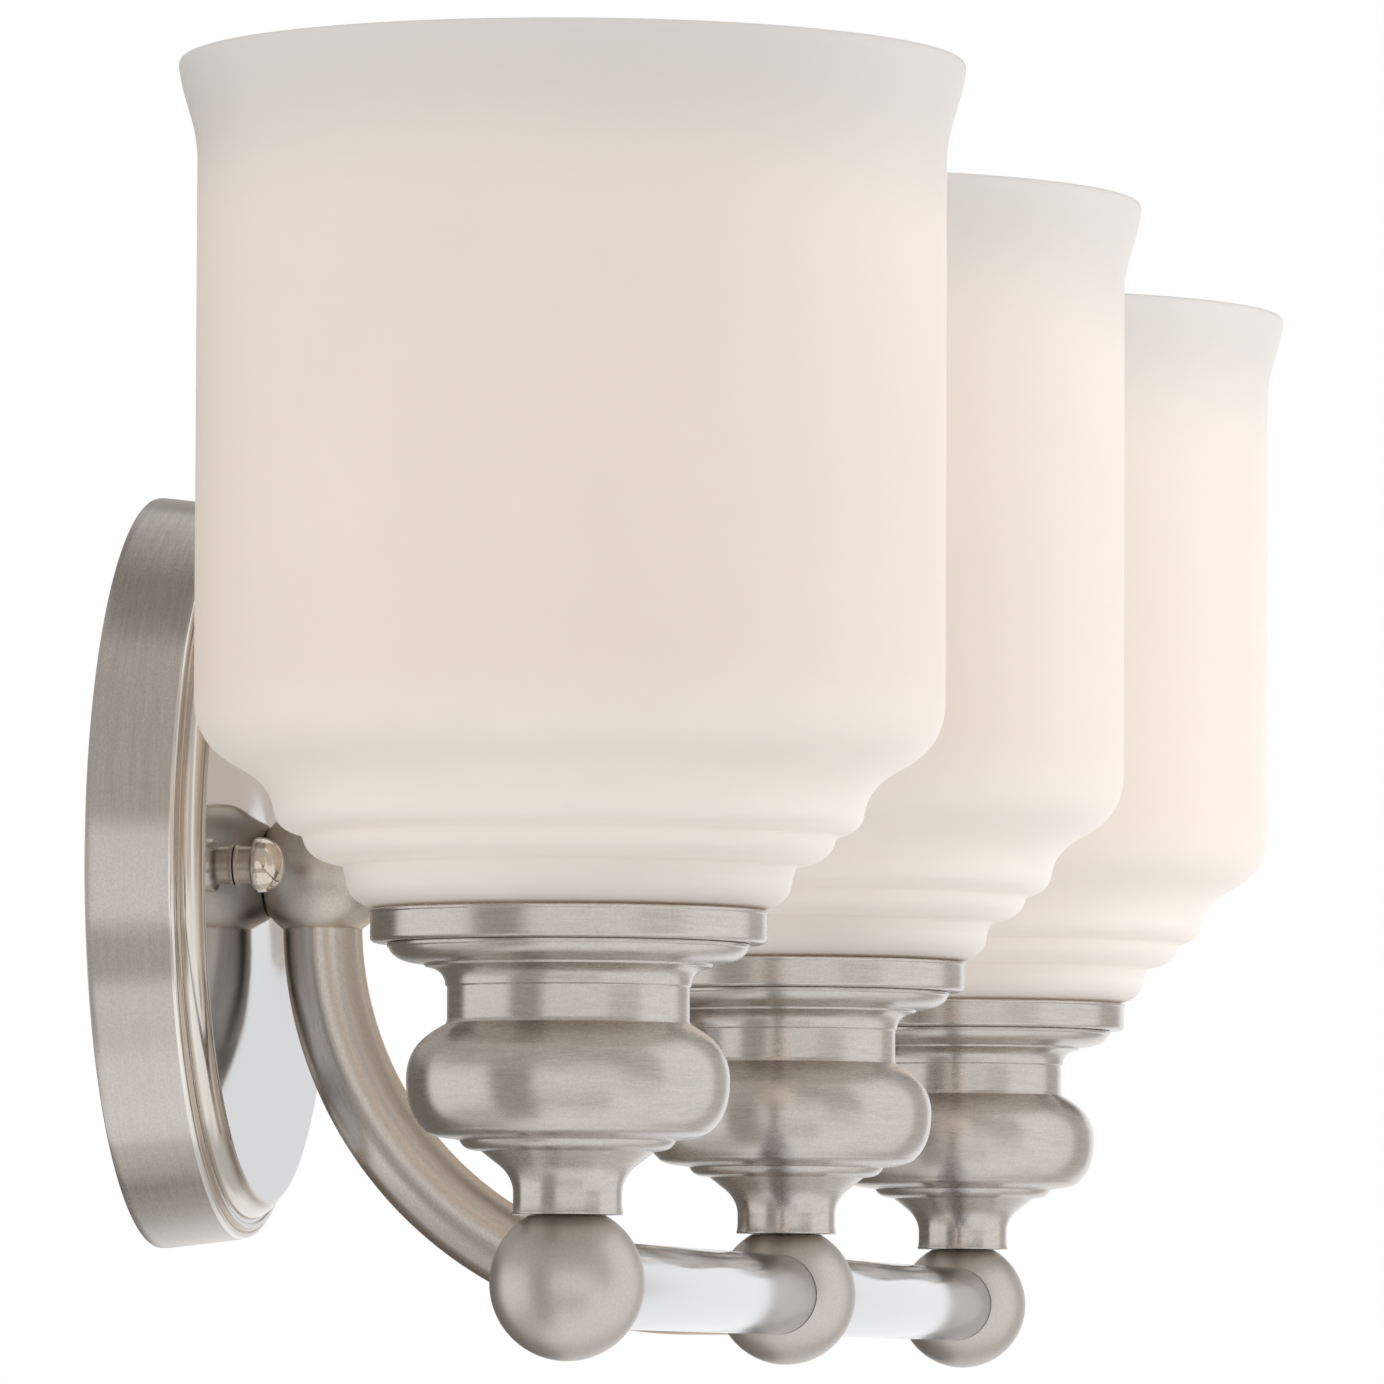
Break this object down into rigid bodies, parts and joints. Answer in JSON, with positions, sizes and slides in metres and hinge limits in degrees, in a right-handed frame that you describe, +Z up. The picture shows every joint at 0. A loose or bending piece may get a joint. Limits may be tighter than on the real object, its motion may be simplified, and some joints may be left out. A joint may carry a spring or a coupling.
{
  "type": "vanity light bar",
  "caption": "Wall light with glass shades on a cross bar, a curved arm and a round canopy; shades, rings and lamps lift off, and cap nuts turn.",
  "frame": {"origin": "centre of the canopy on the wall plane", "axes": "+X along the bar, +Y into the wall, +Z up; the room is on the -Y side"},
  "size_m": [0.648, 0.1964, 0.2308],
  "materials": {
    "satin_nickel": "satin nickel plate, fine brushing",
    "polished_nickel": "polished nickel plate",
    "zinc_steel": "zinc plated steel",
    "green_screw": "green dyed steel",
    "phenolic": "moulded black phenolic",
    "brass": "drawn brass",
    "opal_glass": "etched opal white glass",
    "bulb_frost": "frosted glass"
  },
  "bodies": {
    "root": {"canopy": "satin_nickel", "mounting_bracket": "zinc_steel", "ground_screw": "green_screw", "stud_left": "zinc_steel", "stud_right": "zinc_steel", "stud_nut_left": "zinc_steel", "stud_nut_right": "zinc_steel", "nipple_washer": "zinc_steel", "nipple_locknut": "zinc_steel", "knuckle_nipple": "zinc_steel", "knuckle": "satin_nickel", "arm_tube": "satin_nickel", "bar_left": "polished_nickel", "bar_right": "polished_nickel", "ball_left": "satin_nickel", "nipple_left": "zinc_steel", "cup_left": "satin_nickel", "cup_nut_left": "zinc_steel", "tray_left": "satin_nickel", "socket_left": "phenolic", "screw_shell_left": "brass", "contact_left": "brass", "ball_centre": "satin_nickel", "nipple_centre": "zinc_steel", "cup_centre": "satin_nickel", "cup_nut_centre": "zinc_steel", "tray_centre": "satin_nickel", "socket_centre": "phenolic", "screw_shell_centre": "brass", "contact_centre": "brass", "ball_right": "satin_nickel", "nipple_right": "zinc_steel", "cup_right": "satin_nickel", "cup_nut_right": "zinc_steel", "tray_right": "satin_nickel", "socket_right": "phenolic", "screw_shell_right": "brass", "contact_right": "brass"},
    "shade_left": {"shade_left": "opal_glass"},
    "ring_left": {"ring_left": "phenolic"},
    "bulb_left": {"bulb_cap_left": "brass", "bulb_glass_left": "bulb_frost"},
    "shade_centre": {"shade_centre": "opal_glass"},
    "ring_centre": {"ring_centre": "phenolic"},
    "bulb_centre": {"bulb_cap_centre": "brass", "bulb_glass_centre": "bulb_frost"},
    "shade_right": {"shade_right": "opal_glass"},
    "ring_right": {"ring_right": "phenolic"},
    "bulb_right": {"bulb_cap_right": "brass", "bulb_glass_right": "bulb_frost"},
    "cap_nut_left": {"cap_nut_left": "polished_nickel"},
    "cap_nut_right": {"cap_nut_right": "polished_nickel"}
  },
  "joints": [
    {"name": "shade_lift_left", "type": "slide", "parent": "root", "child": "shade_left", "axis": [0, 0, 1], "range_m": [0, 0.06]},
    {"name": "ring_lift_left", "type": "slide", "parent": "shade_left", "child": "ring_left", "axis": [0, 0, 1], "range_m": [0, 0.155]},
    {"name": "bulb_lift_left", "type": "slide", "parent": "ring_left", "child": "bulb_left", "axis": [0, 0, 1], "range_m": [0, 0.165]},
    {"name": "shade_lift_centre", "type": "slide", "parent": "root", "child": "shade_centre", "axis": [0, 0, 1], "range_m": [0, 0.06]},
    {"name": "ring_lift_centre", "type": "slide", "parent": "shade_centre", "child": "ring_centre", "axis": [0, 0, 1], "range_m": [0, 0.155]},
    {"name": "bulb_lift_centre", "type": "slide", "parent": "ring_centre", "child": "bulb_centre", "axis": [0, 0, 1], "range_m": [0, 0.165]},
    {"name": "shade_lift_right", "type": "slide", "parent": "root", "child": "shade_right", "axis": [0, 0, 1], "range_m": [0, 0.06]},
    {"name": "ring_lift_right", "type": "slide", "parent": "shade_right", "child": "ring_right", "axis": [0, 0, 1], "range_m": [0, 0.155]},
    {"name": "bulb_lift_right", "type": "slide", "parent": "ring_right", "child": "bulb_right", "axis": [0, 0, 1], "range_m": [0, 0.165]},
    {"name": "cap_nut_turn_left", "type": "hinge", "parent": "root", "child": "cap_nut_left", "pos_m": [-0.035, -0.0222, 0], "axis": [0, -1, 0], "continuous": true},
    {"name": "cap_nut_turn_right", "type": "hinge", "parent": "root", "child": "cap_nut_right", "pos_m": [0.035, -0.0222, 0], "axis": [0, -1, 0], "continuous": true}
  ]
}
